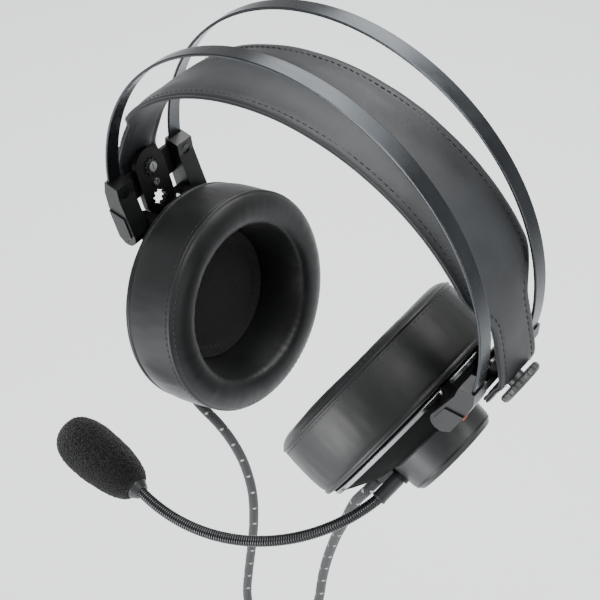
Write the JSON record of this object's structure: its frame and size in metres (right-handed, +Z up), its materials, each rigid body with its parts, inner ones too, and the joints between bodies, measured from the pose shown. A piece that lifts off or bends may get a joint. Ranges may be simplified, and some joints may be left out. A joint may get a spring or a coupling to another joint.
{
  "type": "gaming headset",
  "caption": "Over-ear gaming headset with paired spring bands, hanging strap, tilting cups, gooseneck microphone and forked braided cable.",
  "frame": {"origin": "middle of the head between the two ear pads, on the line through the ears", "axes": "+X to the wearer's left, where the microphone is; -Y to the front of the face; +Z up to the arch of the headband"},
  "size_m": [0.2182, 0.1412, 0.6129],
  "materials": {
    "spring_steel": "satin",
    "strap_leather": "matte",
    "dark_foam": "matte",
    "black_plastic": "satin",
    "satin_black": "satin",
    "bright_metal": "brushed",
    "gold_contact": "polished",
    "pad_leather": "soft matte",
    "ear_mesh": "matte",
    "cone_film": "satin",
    "gland_rubber": "matte",
    "braid": "woven",
    "flex_steel": "blackened",
    "marker_orange": "satin"
  },
  "bodies": {
    "headband": {"front_band": "spring_steel", "rear_band": "spring_steel", "strap_cover": "strap_leather", "strap_foam": "dark_foam", "strap_lining": "strap_leather", "left_yoke": "black_plastic", "right_yoke": "black_plastic", "left_adjuster_plate": "satin_black", "right_adjuster_plate": "satin_black", "yoke_covers": "black_plastic", "band_pins": "satin_black", "pivot_pins": "bright_metal", "plate_screws": "bright_metal", "side_marker": "marker_orange", "left_cable": "braid", "right_cable": "braid", "cable_splitter": "black_plastic", "main_cable": "braid", "cable_coil": "braid", "coil_tie": "gland_rubber", "audio_plug": "gold_contact", "remote_housing": "black_plastic"},
    "left_cup": {"left_cup_shell": "black_plastic", "left_trim_ring": "bright_metal", "left_drum": "black_plastic", "left_drum_cap": "satin_black", "left_hinge_lug": "black_plastic", "left_baffle": "satin_black", "left_baffle_screws": "bright_metal", "left_driver": "bright_metal", "left_diaphragm": "cone_film", "left_ear_cloth": "ear_mesh", "left_ear_pad": "pad_leather", "left_cable_gland": "gland_rubber", "mic_socket": "satin_black"},
    "right_cup": {"right_cup_shell": "black_plastic", "right_trim_ring": "satin_black", "right_drum": "black_plastic", "right_drum_cap": "satin_black", "right_hinge_lug": "black_plastic", "right_baffle": "satin_black", "right_baffle_screws": "bright_metal", "right_driver": "bright_metal", "right_diaphragm": "cone_film", "right_ear_cloth": "ear_mesh", "right_ear_pad": "pad_leather", "right_cable_gland": "gland_rubber"},
    "left_knob": {"left_knob": "black_plastic", "left_knob_screw": "bright_metal"},
    "right_knob": {"right_knob": "black_plastic", "right_knob_screw": "bright_metal"},
    "mic_arm": {"mic_plug": "black_plastic", "gooseneck_base": "flex_steel"},
    "mic_middle": {"gooseneck_middle": "flex_steel"},
    "mic_end": {"gooseneck_tip": "flex_steel", "mic_housing": "black_plastic", "mic_capsule": "bright_metal", "mic_foam": "dark_foam"},
    "volume_wheel": {"volume_wheel": "satin_black"},
    "mute_slider": {"mute_slider": "bright_metal"}
  },
  "joints": [
    {"name": "left_cup_tilt", "type": "hinge", "parent": "headband", "child": "left_cup", "pos_m": [0.0845, 0, 0.027], "axis": [0, 1, 0], "range_deg": [-34, 6], "deforming": ["left_cable"]},
    {"name": "right_cup_tilt", "type": "hinge", "parent": "headband", "child": "right_cup", "pos_m": [-0.0845, 0, 0.027], "axis": [0, -1, 0], "range_deg": [-30, 10], "deforming": ["right_cable"]},
    {"name": "left_knob_pull", "type": "slide", "parent": "headband", "child": "left_knob", "axis": [0.9397, 0, -0.342], "range_m": [0, 0.009]},
    {"name": "right_knob_pull", "type": "slide", "parent": "headband", "child": "right_knob", "axis": [-0.9397, 0, -0.342], "range_m": [0, 0.009]},
    {"name": "mic_unplug", "type": "slide", "parent": "left_cup", "child": "mic_arm", "axis": [-0.2241, -0.8192, -0.528], "range_m": [0, 0.013]},
    {"name": "mic_bend_near", "type": "hinge", "parent": "mic_arm", "child": "mic_middle", "pos_m": [0.04245, -0.05931, -0.0542], "axis": [0, 0.5402, -0.8415], "range_deg": [-40, 10]},
    {"name": "mic_bend_far", "type": "hinge", "parent": "mic_middle", "child": "mic_end", "pos_m": [0.00748, -0.0761, -0.06498], "axis": [0, 0.5402, -0.8415], "range_deg": [-40, 10]},
    {"name": "volume_turn", "type": "hinge", "parent": "headband", "child": "volume_wheel", "pos_m": [-0.0046, -0.008, -0.311], "axis": [0, 1, 0], "range_deg": [-135, 135]},
    {"name": "mute_slide", "type": "slide", "parent": "headband", "child": "mute_slider", "axis": [0, 0, 1], "range_m": [0, 0.0035]}
  ]
}
